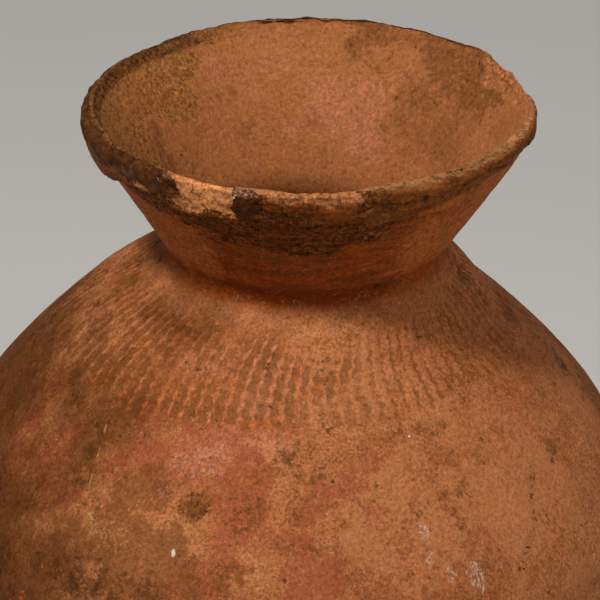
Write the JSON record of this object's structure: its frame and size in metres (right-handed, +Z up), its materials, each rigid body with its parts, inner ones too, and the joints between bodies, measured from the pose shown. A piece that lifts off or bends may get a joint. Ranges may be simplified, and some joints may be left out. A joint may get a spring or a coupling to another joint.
{
  "type": "round clay pot",
  "caption": "Round hand-built water pot in fired clay with a full round body, an off-centre neck, a flaring collar and a chipped applied lip band.",
  "frame": {"origin": "centre of the flat resting spot under the pot", "axes": "+Z up, -Y towards the front that the picture shows, +X to the viewer's right"},
  "size_m": [0.31, 0.31, 0.35],
  "materials": {
    "body_clay": "matt",
    "shoulder_clay": "matt",
    "collar_clay": "matt",
    "lip_crust": "satin"
  },
  "bodies": {
    "root": {"base_bowl": "body_clay", "lower_wall_coil_1": "body_clay", "lower_wall_coil_2": "body_clay", "lower_wall_coil_3": "body_clay", "lower_wall_coil_4": "body_clay", "shoulder_coil_1": "shoulder_clay", "shoulder_coil_2": "shoulder_clay", "shoulder_coil_3": "shoulder_clay", "shoulder_coil_4": "shoulder_clay", "shoulder_coil_5": "shoulder_clay", "shoulder_coil_6": "shoulder_clay", "shoulder_coil_7": "shoulder_clay", "neck_coil": "collar_clay", "collar_coil_1": "collar_clay", "collar_coil_2": "collar_clay", "lip_coil": "collar_clay", "lip_band_left": "lip_crust", "lip_band_right": "lip_crust", "lip_band_front": "lip_crust"}
  },
  "joints": []
}
